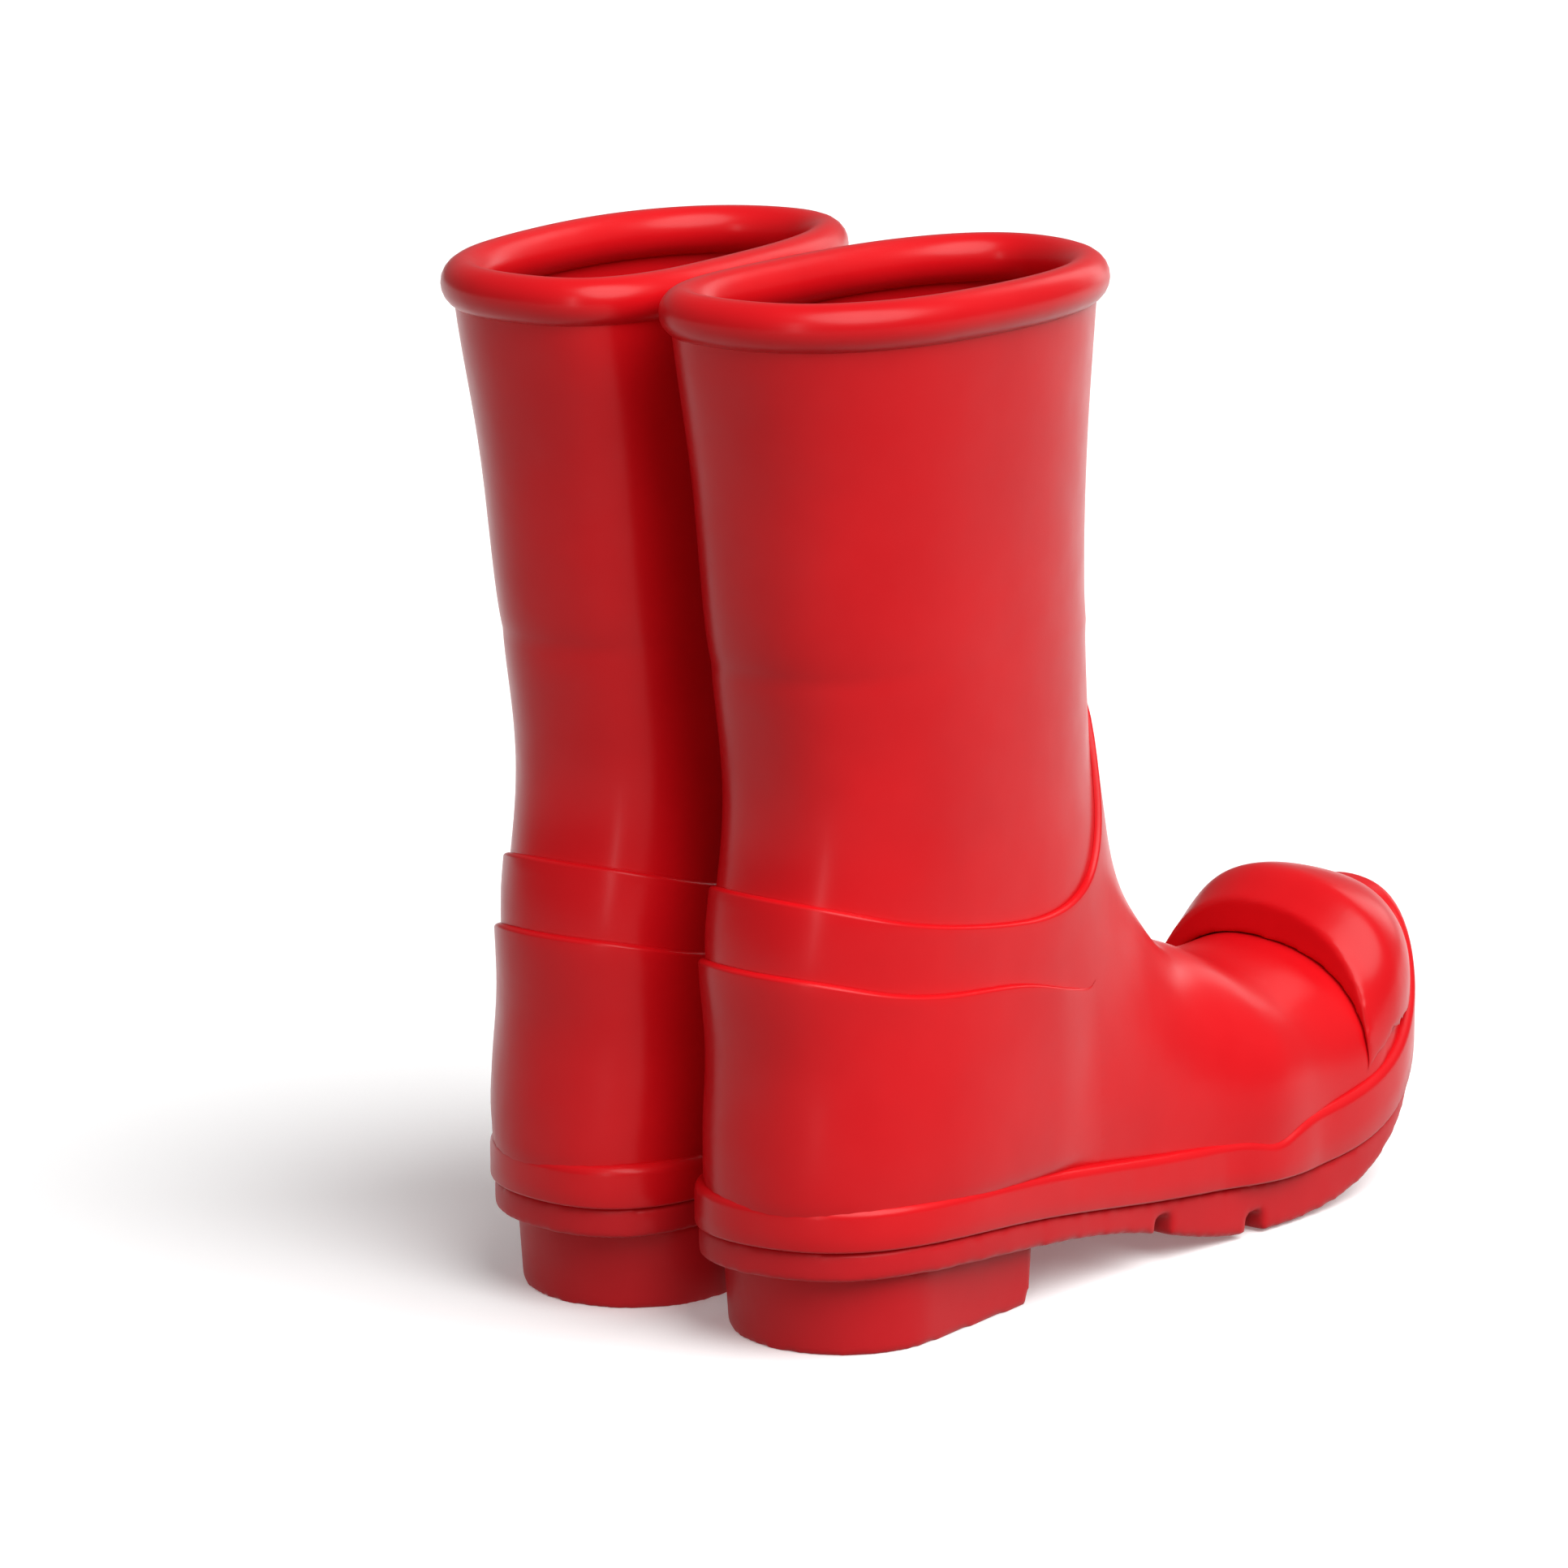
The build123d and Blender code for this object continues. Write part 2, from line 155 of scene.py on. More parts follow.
# ---------------------------------------------------------------- material helpers
def new_material(name):
    material = bpy.data.materials.new(name)
    material.use_nodes = True
    return material, material.node_tree, material.node_tree.nodes["Principled BSDF"]


def noise(tree, scale, detail=3.0, stretch=(1, 1, 1)):
    """Noise in the piece's own coordinates. Scale is in cells per metre."""
    place = tree.nodes.new("ShaderNodeTexCoord")
    mapping = tree.nodes.new("ShaderNodeMapping")
    mapping.inputs["Scale"].default_value = stretch
    texture = tree.nodes.new("ShaderNodeTexNoise")
    texture.inputs["Scale"].default_value = scale
    texture.inputs["Detail"].default_value = detail
    tree.links.new(place.outputs["Object"], mapping.inputs["Vector"])
    tree.links.new(mapping.outputs["Vector"], texture.inputs["Vector"])
    return texture.outputs["Fac"]


def between(tree, factor, low, high):
    """A number from low to high as a factor goes over its usual middle range."""
    remap = tree.nodes.new("ShaderNodeMapRange")
    remap.inputs["From Min"].default_value = 0.3
    remap.inputs["From Max"].default_value = 0.7
    remap.inputs["To Min"].default_value = low
    remap.inputs["To Max"].default_value = high
    tree.links.new(factor, remap.inputs["Value"])
    return remap.outputs["Result"]


def blend_colours(tree, factor, first, second):
    ramp = tree.nodes.new("ShaderNodeValToRGB")
    ramp.color_ramp.elements[0].position = 0.3
    ramp.color_ramp.elements[0].color = (*first, 1)
    ramp.color_ramp.elements[1].position = 0.7
    ramp.color_ramp.elements[1].color = (*second, 1)
    tree.links.new(factor, ramp.inputs["Fac"])
    return ramp.outputs["Color"]


def bump(tree, height, depth, normal=None):
    """Bump of a height from 0 to 1, whose full depth is in metres."""
    node = tree.nodes.new("ShaderNodeBump")
    node.inputs["Distance"].default_value = depth
    node.inputs["Strength"].default_value = 1.0
    tree.links.new(height, node.inputs["Height"])
    if normal is not None:
        tree.links.new(normal, node.inputs["Normal"])
    return node.outputs["Normal"]


# ---------------------------------------------------------------- materials
def floor_paper():
    """White seamless paper with a faint tooth, which also glows a little: painted light that lifts its shadows and
    the background.
    """
    material, tree, shader = new_material("floor_paper")
    tooth = noise(tree, 900)
    colour = blend_colours(tree, noise(tree, 2), (0.93, 0.93, 0.93), (0.95, 0.95, 0.95))
    tree.links.new(colour, shader.inputs["Base Color"])
    tree.links.new(bump(tree, tooth, 0.00005), shader.inputs["Normal"])
    shader.inputs["Roughness"].default_value = 0.9
    shader.inputs["Specular IOR Level"].default_value = 0.1
    # painted light: the paper glows faintly, which lifts the shadows cast on it
    shader.inputs["Emission Color"].default_value = (1, 1, 1, 1)
    shader.inputs["Emission Strength"].default_value = 0.16
    return material


def moulded_rubber(name, light_red, dark_red, smooth, dull, coat):
    """Pigmented rubber: cloudy colour, slightly uneven gloss, a fine skin and a slow waviness."""
    material, tree, shader = new_material(name)
    cloud = noise(tree, 22, 4)
    tree.links.new(blend_colours(tree, cloud, dark_red, light_red), shader.inputs["Base Color"])
    tree.links.new(between(tree, noise(tree, 60, 5), smooth, dull), shader.inputs["Roughness"])
    wave = bump(tree, noise(tree, 38, 2), 0.00035)
    skin = bump(tree, noise(tree, 1500, 2), 0.000012, wave)
    tree.links.new(skin, shader.inputs["Normal"])
    shader.inputs["IOR"].default_value = 1.36
    shader.inputs["Specular IOR Level"].default_value = 0.3
    shader.inputs["Coat Weight"].default_value = coat
    shader.inputs["Coat IOR"].default_value = 1.4
    shader.inputs["Coat Roughness"].default_value = 0.22
    return material


BAND_PERIOD = 0.314           # metres between the bands of a wave texture whose scale is 1


def woven_textile(name, light, dark, pitch, relief):
    """Knitted or woven cloth: ribs both ways, fuzz and a soft sheen."""
    material, tree, shader = new_material(name)
    place = tree.nodes.new("ShaderNodeTexCoord")
    ribs = []
    for direction in ("X", "Z"):
        wave = tree.nodes.new("ShaderNodeTexWave")
        wave.wave_type = "BANDS"
        wave.bands_direction = direction
        wave.inputs["Scale"].default_value = BAND_PERIOD / pitch
        wave.inputs["Distortion"].default_value = 1.2
        tree.links.new(place.outputs["Object"], wave.inputs["Vector"])
        ribs.append(wave.outputs["Fac"])
    knit = tree.nodes.new("ShaderNodeMath")
    knit.operation = "MAXIMUM"
    tree.links.new(ribs[0], knit.inputs[0])
    tree.links.new(ribs[1], knit.inputs[1])
    height = knit.outputs["Value"]
    tree.links.new(blend_colours(tree, height, dark, light), shader.inputs["Base Color"])
    tree.links.new(between(tree, noise(tree, 500), 0.8, 0.95), shader.inputs["Roughness"])
    fuzz = bump(tree, noise(tree, 2500), 0.0001)
    tree.links.new(bump(tree, height, relief, fuzz), shader.inputs["Normal"])
    shader.inputs["Sheen Weight"].default_value = 0.3
    shader.inputs["Specular IOR Level"].default_value = 0.2
    return material


def porous(name, light, dark, cell, relief):
    """Foam or fibre: pores or flecks of one size."""
    material, tree, shader = new_material(name)
    place = tree.nodes.new("ShaderNodeTexCoord")
    cells = tree.nodes.new("ShaderNodeTexVoronoi")
    cells.inputs["Scale"].default_value = 1 / cell
    tree.links.new(place.outputs["Object"], cells.inputs["Vector"])
    height = cells.outputs["Distance"]
    tree.links.new(blend_colours(tree, height, dark, light), shader.inputs["Base Color"])
    tree.links.new(between(tree, noise(tree, 300), 0.75, 0.95), shader.inputs["Roughness"])
    tree.links.new(bump(tree, height, relief), shader.inputs["Normal"])
    shader.inputs["Specular IOR Level"].default_value = 0.25
    return material


def brushed_steel():
    """Spring steel strip, brushed along the boot."""
    material, tree, shader = new_material("brushed_steel")
    grain = noise(tree, 900, 2, (1, 0.03, 1))
    colour = blend_colours(tree, grain, (0.42, 0.43, 0.45), (0.6, 0.6, 0.62))
    tree.links.new(colour, shader.inputs["Base Color"])
    tree.links.new(between(tree, grain, 0.28, 0.42), shader.inputs["Roughness"])
    tree.links.new(bump(tree, grain, 0.00002), shader.inputs["Normal"])
    shader.inputs["Metallic"].default_value = 1.0
    return material


# ---------------------------------------------------------------- the left boot's own directions
mounts = {mount["name"]: mount for mount in frame["record"]["mounts"]}
joints = {joint["name"]: joint for joint in frame["joints"]}
heel_rest = np.array(mounts["left_heel_rest"]["pos_m"])
outward = Vector(joints["left_insole_peel"]["axis"]).normalized()
BOOT_AXES = np.array([outward, UP.cross(outward), UP])


def from_boot(points):
    """Points given as outward, back and up from under the heel, in the row frame."""
    return np.asarray(points) @ BOOT_AXES + heel_rest


# ---------------------------------------------------------------- rings over the boot
# Rings run down the leg, turn round the instep and run on to the toe. Column 0 of a ring points
# to the back or the sole, a quarter turn points outward and a half turn to the front or the top.
TURN_BACK = -206 * MM         # the line round which the rings turn, in front of the instep
TURN_UP = 200 * MM
REACH_TO_TOE = 151 * MM       # from that line to the middle of the foot
REACH_TO_LEG = 184 * MM       # from that line to the middle of the leg
REACH_AT_ANKLE = 9 * MM       # added half way round the turn
LEG_LEAN = 11 * MM            # how much farther back the middle of the leg is at the top
TOE_RUN = 38.5 * MM           # from the end of the turn to the last ring
TOE_RISE = 18 * MM
RING_MIDDLE = 3 * MM          # the rings' middles lie this far outward of the heel's middle
COLUMNS = 144
LEG_RINGS = 62
TURN_RINGS = 150
TOE_RINGS = 14
LAST_RING = LEG_RINGS + TURN_RINGS + TOE_RINGS - 1
SAMPLED_REACH = 170 * MM
LEG_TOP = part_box("left_leg_shaft")[1].z - 0.3 * MM     # a ray just under the top still meets rubber


def ring_reach(turn):
    """Distance from the turning line to the middle of a ring that has turned by an angle."""
    lengthened = (REACH_TO_LEG - REACH_TO_TOE) * math.cos(turn)
    return REACH_TO_TOE + lengthened + REACH_AT_ANKLE * math.sin(2 * turn)


def ring_line(place):
    """Middle of the ring at a place, and its direction towards the back or the sole."""
    if place < LEG_RINGS:
        share = place / LEG_RINGS
        back = TURN_BACK + ring_reach(0) + LEG_LEAN * (1 - share)
        return (back, LEG_TOP + (TURN_UP - LEG_TOP) * share), (1, 0)
    if place < LEG_RINGS + TURN_RINGS:
        turn = math.pi / 2 * (place - LEG_RINGS) / TURN_RINGS
        along = (math.cos(turn), -math.sin(turn))
        reach = ring_reach(turn)
        return (TURN_BACK + reach * along[0], TURN_UP + reach * along[1]), along
    share = (place - LEG_RINGS - TURN_RINGS) / (TOE_RINGS - 1)
    up = TURN_UP - ring_reach(math.pi / 2)
    return (TURN_BACK - TOE_RUN * share, up + TOE_RISE * share), (0, -1)


def ring_ray(place, column):
    """Start and direction of one ray from the middle of a ring, in the row frame."""
    (back, up), along = ring_line(place)
    angle = 2 * math.pi * column / COLUMNS
    side = math.sin(angle)
    reach = math.cos(angle)
    way = np.array((side, reach * along[0], reach * along[1])) @ BOOT_AXES
    return Vector(from_boot((RING_MIDDLE, back, up))), Vector(way)


def tree_of(*names):
    """One search tree over the meshes of some of the left boot's CAD nodes."""
    points = []
    faces = []
    for name in names:
        mesh = frame["nodes"]["left_" + name].data
        start = len(points)
        points.extend(vertex.co.copy() for vertex in mesh.vertices)
        faces.extend([start + index for index in face.vertices] for face in mesh.polygons)
    return BVHTree.FromPolygons(points, faces)


def outermost(tree, place, column):
    """Distance along a ray to the outermost face of a tree, or nan."""
    middle, way = ring_ray(place, column)
    hit = tree.ray_cast(middle + way * SAMPLED_REACH, -way, SAMPLED_REACH)
    return math.nan if hit[0] is None else SAMPLED_REACH - hit[3]


def innermost(tree, place, column):
    """Distance along a ray to the first face of a tree, or nan."""
    middle, way = ring_ray(place, column)
    hit = tree.ray_cast(middle, way, SAMPLED_REACH)
    return math.nan if hit[0] is None else hit[3]


def sample(measure, tree, first=0):
    """Distances of one measure over all columns, from a first ring to the last."""
    return np.array([[measure(tree, place, column) for column in range(COLUMNS)]
                     for place in range(first, LAST_RING + 1)])


def fill_gaps(grid):
    """Missing distances take the value straight between their neighbours in the ring."""
    filled = grid.copy()
    columns = np.arange(COLUMNS)
    for ring, row in enumerate(grid):
        known = columns[~np.isnan(row)]
        filled[ring] = np.interp(columns, known, row[known], period=COLUMNS)
    return filled


def soften(grid, along, around):
    """Repeated light averaging along the boot and around it. The first and last rings stay."""
    for _ in range(along):
        middle = (grid[:-2] + 2 * grid[1:-1] + grid[2:]) / 4
        grid = np.concatenate([grid[:1], middle, grid[-1:]])
    for _ in range(around):
        grid = (np.roll(grid, 1, axis=1) + 2 * grid + np.roll(grid, -1, axis=1)) / 4
    return grid


def points_of(distances, first=0):
    """Points of a grid of ray distances that starts at a first ring, in the row frame."""
    points = np.zeros((*distances.shape, 3))
    for row in range(len(distances)):
        for column in range(COLUMNS):
            middle, way = ring_ray(first + row, column)
            points[row, column] = middle + way * distances[row, column]
    return points


def normals_of(points):
    """Outward unit normals over a grid of points."""
    along = np.gradient(points, axis=0)
    around = np.roll(points, -1, axis=1) - np.roll(points, 1, axis=1)
    normals = np.cross(around, along)
    normals /= np.linalg.norm(normals, axis=2, keepdims=True)
    return normals


def at_places(grid, places, columns):
    """Smooth values of a grid at fractional rings and columns."""
    ring = np.clip(places.astype(int), 0, LAST_RING - 1)
    share = (places - ring)[..., None]
    left = np.floor(columns).astype(int)
    lean = (columns - left)[..., None]

    def along_column(column):
        column = column % COLUMNS
        before = grid[np.maximum(ring - 1, 0), column]
        start = grid[ring, column]
        end = grid[ring + 1, column]
        after = grid[np.minimum(ring + 2, LAST_RING), column]
        bend = (2 * before - 5 * start + 4 * end - after) * share ** 2
        bend = bend + (3 * start - before - 3 * end + after) * share ** 3
        return start + 0.5 * ((end - before) * share + bend)

    return along_column(left) * (1 - lean) + along_column(left + 1) * lean


# ---------------------------------------------------------------- the rubber surface, from the CAD
EVEN_ALONG = 30               # light averaging passes that take the waviness out of the surface
EVEN_AROUND = 4
HEEL_END_RING = LEG_RINGS + int(0.62 * TURN_RINGS)     # the rings before this one cross the heel
CARRIED_RINGS = 24            # rings over which the wall is carried on below the sole
SLOPE_NEAR = 2                # rings above the wall's end, between which its slope is taken
SLOPE_FAR = 8
HEEL_FLARE = 3.6 * MM         # the most that the heel swells out above the band
FLARE_BEGINS = (-50, 5)       # degrees round the leg from the back, over which the flare rises
FLARE_ENDS = (70, 115)        # and over which it goes down again
FLARE_TOP = (50 * MM, 112 * MM)
FLARE_FOOT = (34 * MM, 48 * MM)
FLARE_FRONT = -60 * MM        # the flare fades to nothing here, back from under the heel
LEG_WALL = 2.35 * MM
OVERLAY = 1.95 * MM           # thickness of the foot shell, and of the heel counter over it
LAYER_GAP = 0.05 * MM
LAYER_SLACK = 1.8 * MM        # a layer's face is found within this distance of its own height
HALVINGS = 7                  # steps that close in on a node's edge
EDGE_ROUND = 1.3 * MM         # radius of the moulded top edge of an overlay
EDGE_ROWS = [EDGE_ROUND * (1 - math.cos(math.radians(angle))) for angle in range(0, 91, 15)]
OVERLAY_ROWS = 120
FADE = 24 * MM                # an overlay with a front edge thins out over this length
FOOT_FADE = (-2 * MM, 6 * MM)          # and round its lower end, over these heights
WELD = 0.01 * MM              # points closer than this become one
SHARP_ANGLE = math.radians(50)
WHOLE_BODY = tree_of("leg_shaft", "heel_stiffener", "toe_puff", "midsole_filler")
WALLS = tree_of("leg_shaft", "heel_stiffener", "toe_puff")


def carried_down(distances, walls):
    """The wall of the heel carried straight on below the sole, so that softening keeps it."""
    carried = distances.copy()
    for column in range(COLUMNS):
        missing = np.flatnonzero(~walls[:, column])
        if len(missing) == 0 or missing[0] > HEEL_END_RING:
            continue
        first = missing[0]
        near = distances[first - SLOPE_NEAR, column]
        slope = (near - distances[first - SLOPE_FAR, column]) / (SLOPE_FAR - SLOPE_NEAR)
        for step in range(min(CARRIED_RINGS, LAST_RING - first)):
            if not walls[first + step, column]:
                carried[first + step, column] = near + slope * (step + SLOPE_NEAR)
    return carried


def smooth_step(values, start, end):
    """0 before start, 1 after end, and a smooth rise between them."""
    share = np.clip((values - start) / (end - start), 0, 1)
    return share * share * (3 - 2 * share)


def heel_flare(points):
    """How far the outer and rear side of the heel swells out above the band."""
    turn = np.degrees(2 * math.pi * np.arange(COLUMNS) / COLUMNS)
    turn = np.where(turn > 180, turn - 360, turn)[None, :]
    facing = smooth_step(turn, *FLARE_BEGINS) * (1 - smooth_step(turn, *FLARE_ENDS))
    height = points[:, :, 2]
    back = (points - heel_rest) @ BOOT_AXES[1]
    lowness = (1 - smooth_step(height, *FLARE_TOP)) * smooth_step(height, *FLARE_FOOT)
    return HEEL_FLARE * facing * lowness * smooth_step(back, FLARE_FRONT, 0)


SAMPLED = fill_gaps(sample(outermost, WHOLE_BODY))
has_wall = ~np.isnan(sample(outermost, WALLS))
BODY_DISTANCES = soften(carried_down(SAMPLED, has_wall), EVEN_ALONG, EVEN_AROUND)
cover = soften(has_wall.astype(float), EVEN_ALONG, EVEN_AROUND)
far_from_sole = smooth_step(cover, 0.6, 0.95)
far_from_sole[:HEEL_END_RING] = 1
BODY_DISTANCES = SAMPLED + (BODY_DISTANCES - SAMPLED) * far_from_sole
BODY_DISTANCES = BODY_DISTANCES + heel_flare(points_of(BODY_DISTANCES))
BODY_POINTS = points_of(BODY_DISTANCES)
BODY_NORMALS = normals_of(BODY_POINTS)


def body_point(places, columns, lift):
    """Points at a height over the rubber's surface. Places, columns and lift are arrays."""
    points = at_places(BODY_POINTS, places, columns)
    normals = at_places(BODY_NORMALS, places, columns)
    return points + normals * lift[..., None]


def covered_by(tree, lift):
    """A test of whether a CAD node lies at a ring and column, at a height over the surface."""
    def test(place, column):
        surface = outermost(WHOLE_BODY, place, column)
        found = outermost(tree, place, column)
        return found > surface + lift - LAYER_SLACK
    return test


def halfway(test, inside, outside):
    """Where a test changes between two (place, column) pairs, by halving."""
    inside = np.array(inside, float)
    outside = np.array(outside, float)
    for _ in range(HALVINGS):
        middle = (inside + outside) / 2
        if test(*middle):
            inside = middle
        else:
            outside = middle
    return inside


def first_places(test):
    """For each column, the place where a node starts, coming down from the top, or nan."""
    starts = np.full(COLUMNS, np.nan)
    for column in range(COLUMNS):
        hits = [ring for ring in range(LAST_RING) if test(ring, column)]
        if hits:
            starts[column] = halfway(test, (hits[0], column), (hits[0] - 1, column))[0]
    return starts


def trim(places, test):
    """Which grid points a node covers, with the points just outside moved on to its edge."""
    rows = len(places)
    columns = np.tile(np.arange(COLUMNS, dtype=float), (rows, 1))
    inside = np.array([[test(places[row, column], column) for column in range(COLUMNS)]
                       for row in range(rows)])
    places = places.copy()
    sampled_places = places.copy()
    for row, column in np.argwhere(~inside):
        ends = []
        for step_row, step_column in ((1, 0), (-1, 0), (0, 1), (0, -1)):
            next_row = row + step_row
            next_column = (column + step_column) % COLUMNS
            if 0 <= next_row < rows and inside[next_row, next_column]:
                start = (sampled_places[next_row, next_column], column + step_column)
                ends.append(halfway(test, start, (sampled_places[row, column], column)))
        if ends:
            places[row, column], columns[row, column] = np.mean(ends, axis=0)
    return places, columns, inside


def spaced_places(starts, rows):
    """Rows of places from a start in each column to the toe, closely spaced at the start."""
    first = starts[:, None]
    ring_step = np.linalg.norm(np.diff(BODY_POINTS, axis=0), axis=2)
    near = np.clip(starts.astype(int), 0, LAST_RING - 1)
    size = ring_step[near, np.arange(COLUMNS)][:, None]
    close = np.array(EDGE_ROWS)[None, :] / size
    after = first + close[:, -1:]
    even = after + (LAST_RING - after) * (np.arange(1, rows + 1) / rows)[None, :]
    return np.concatenate([first + close, even], axis=1).T


def edge_lift(row_count, low, high):
    """Height of each row over the surface: a rounded edge first, then the full thickness."""
    depths = np.array(EDGE_ROWS)
    rise = np.sqrt(np.clip(1 - (1 - depths / EDGE_ROUND) ** 2, 0, 1))
    lifts = np.full(row_count, high)
    lifts[:len(depths)] = low + (high - low) * rise
    return lifts


def shell_mesh(name, outer, inner, faces_kept, closed_toe):
    """A closed layer between two grids of points, open at the top and where faces are left out."""
    mesh = bmesh.new()
    rows = len(outer)
    outer_verts = [[mesh.verts.new(point) for point in row] for row in outer]
    inner_verts = [[mesh.verts.new(point) for point in row] for row in inner]
    edges = {}
    for row in range(rows - 1):
        for column in range(COLUMNS):
            if not faces_kept[row, column]:
                continue
            corners = [(row, column), (row, (column + 1) % COLUMNS),
                       (row + 1, (column + 1) % COLUMNS), (row + 1, column)]
            mesh.faces.new([outer_verts[r][c] for r, c in corners])
            mesh.faces.new([inner_verts[r][c] for r, c in reversed(corners)])
            for start, end in zip(corners, corners[1:] + corners[:1]):
                edges[(start, end)] = (end, start) not in edges
                if (end, start) in edges:
                    edges[(end, start)] = False
    if closed_toe:
        mesh.faces.new(outer_verts[-1])
        mesh.faces.new(list(reversed(inner_verts[-1])))
    for (start, end), alone in edges.items():
        if not alone or (closed_toe and start[0] == end[0] == rows - 1):
            continue
        mesh.faces.new([outer_verts[start[0]][start[1]], inner_verts[start[0]][start[1]],
                        inner_verts[end[0]][end[1]], outer_verts[end[0]][end[1]]])
    loose = [vert for vert in mesh.verts if not vert.link_faces]
    bmesh.ops.delete(mesh, geom=loose, context="VERTS")
    bmesh.ops.remove_doubles(mesh, verts=mesh.verts, dist=WELD)
    bmesh.ops.dissolve_degenerate(mesh, edges=mesh.edges, dist=WELD)
    bmesh.ops.recalc_face_normals(mesh, faces=mesh.faces)
    data = bpy.data.meshes.new(name)
    mesh.to_mesh(data)
    mesh.free()
    return data


def add_piece(name, data, material, body, replaced):
    """Put one mesh in the scene as a piece that rides on a body and stands for a CAD node."""
    data.shade_smooth()
    data.set_sharp_from_angle(angle=SHARP_ANGLE)
    piece = bpy.data.objects.new(name, data)
    bpy.context.scene.collection.objects.link(piece)
    piece.data.materials.append(material)
    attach(piece, body)
    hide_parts(replaced)
    return piece


def mirrored(data, name):
    """The right boot's copy of a left boot's mesh."""
    mesh = bmesh.new()
    mesh.from_mesh(data)
    for vert in mesh.verts:
        vert.co.x = -vert.co.x
    bmesh.ops.reverse_faces(mesh, faces=mesh.faces)
    copy = bpy.data.meshes.new(name)
    mesh.to_mesh(copy)
    mesh.free()
    return copy


def add_pair(node, data, material, own_body=False):
    """A left piece and its mirrored right one, in place of the CAD nodes of the same part."""
    pieces = []
    for side in ("left", "right"):
        body = f"{side}_{node}" if own_body else f"{side}_boot"
        name = f"{side}_{node}_skin"
        mesh = data if side == "left" else mirrored(data, name)
        pieces.append(add_piece(name, mesh, material, body, f"{side}_{node}"))
    return pieces


def kept_faces(inside):
    """Faces with any corner on the node."""
    beside = np.roll(inside, -1, axis=1)
    return (inside | beside)[:-1] | (inside | beside)[1:]


def plain_layer(node, low, high):
    """A layer over the whole of its CAD node, with square edges that other layers cover."""
    test = covered_by(tree_of(node), high)
    places = np.tile(np.arange(LAST_RING + 1.0)[:, None], (1, COLUMNS))
    places, columns, inside = trim(places, test)
    outer = body_point(places, columns, np.full(places.shape, high))
    inner = body_point(places, columns, np.full(places.shape, low))
    return shell_mesh("left_" + node + "_skin", outer, inner, kept_faces(inside), False)


def carried_under(node, under, lift):
    """A test for an overlay that is carried on down behind the band, as far as the one under it."""
    below = covered_by(tree_of(under), lift)
    points = np.array([vertex.co for vertex in frame["nodes"]["left_" + node].data.vertices])
    front = ((points - heel_rest) @ BOOT_AXES[1]).min()

    def test(place, column):
        point = at_places(BODY_POINTS, np.array([place]), np.array([column]))[0]
        return (point - heel_rest) @ BOOT_AXES[1] > front and below(place, column)
    return test


def overlay(node, low, high, closed_toe):
    """An overlay with a rounded top edge, which thins towards its front edge if it has one."""
    test = covered_by(tree_of(node), high)
    starts = first_places(test)
    if not closed_toe:
        test = carried_under(node, "foot_shell", low)
    present = ~np.isnan(starts)
    starts = soften(fill_gaps(starts[None, :]), 0, 2)[0]
    places = spaced_places(starts, OVERLAY_ROWS)
    edge_end = places[len(EDGE_ROWS) + 1]

    def inside_edge(place, column):
        near = int(round(column)) % COLUMNS
        return (present[near] and place < edge_end[near]) or test(place, column)

    places, columns, inside = trim(places, inside_edge)
    height = np.tile(edge_lift(len(places), low, high)[:, None], (1, COLUMNS))
    inner = body_point(places, columns, np.full(places.shape, low))
    if not closed_toe:
        back = (inner - heel_rest) @ BOOT_AXES[1]
        front = back[inside].min()
        height = low + (height - low) * smooth_step((back - front) / FADE, -0.02, 1)
        above = inner[:, :, 2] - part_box("left_" + node)[0].z
        height = low + (height - low) * smooth_step(above, *FOOT_FADE)
    outer = body_point(places, columns, height)
    mesh = shell_mesh("left_" + node + "_skin", outer, inner, kept_faces(inside), closed_toe)
    return mesh, outer


# ---------------------------------------------------------------- band and mouldings under the foot
AROUND_SOLE = 360             # directions from the middle of the sole
SOLE_MIDDLE = -100 * MM       # the middle of the sole, back from under the heel
SHORTEST_REACH = 25 * MM      # the sole's edge is between these distances from its middle
LONGEST_REACH = 180 * MM
REACH_HALVINGS = 13
INSIDE_EDGE = 0.4 * MM        # heights are taken this far inside an edge
INSIDE_WELT = 0.6 * MM        # and the welt's this much farther in, clear of its rounding
BAND_PROUD = 2 * MM           # how far the band stands out past the outsole
BAND_DEPTH = 9 * MM
BAND_CORNER = 3 * MM          # roundness of the band's upper outer edge
BAND_OVER_SHELL = 1.4 * MM    # how far it stands out past the foot shell
BAND_SPREAD = 8               # neighbours whose greatest thickness it takes, to hide dips
BAND_PASSES = 30              # averaging passes over its thickness
ABOVE = 120 * MM              # clear of the sole, for rays that come down on it


def drop_on(tree, across, back):
    """Height of the first face under a point, in the boot's own directions, or nan."""
    start = Vector(from_boot((across, back, ABOVE)))
    hit = tree.ray_cast(start, -UP, ABOVE)
    return math.nan if hit[0] is None else hit[0].z


def sole_reach(tree, turn):
    """How far a moulding reaches from the middle of the sole in one direction."""
    near = SHORTEST_REACH
    far = LONGEST_REACH
    for _ in range(REACH_HALVINGS):
        reach = (near + far) / 2
        across = reach * math.sin(turn)
        back = SOLE_MIDDLE + reach * math.cos(turn)
        if math.isnan(drop_on(tree, across, back)):
            far = reach
        else:
            near = reach
    return near


def smooth_ring(values, passes):
    """A ring of numbers or points, lightly averaged a number of times."""
    for _ in range(passes):
        values = (np.roll(values, 1, axis=0) + 2 * values + np.roll(values, -1, axis=0)) / 4
    return values


def band_heights(tree, reaches, turns):
    """Top height of a moulding just inside its edge, straight across any gap."""
    heights = np.array([
        drop_on(tree, reach * math.sin(turn), SOLE_MIDDLE + reach * math.cos(turn))
        for reach, turn in zip(reaches - INSIDE_EDGE, turns)])
    known = np.flatnonzero(~np.isnan(heights))
    return np.interp(np.arange(len(turns)), known, heights[known], period=len(turns))


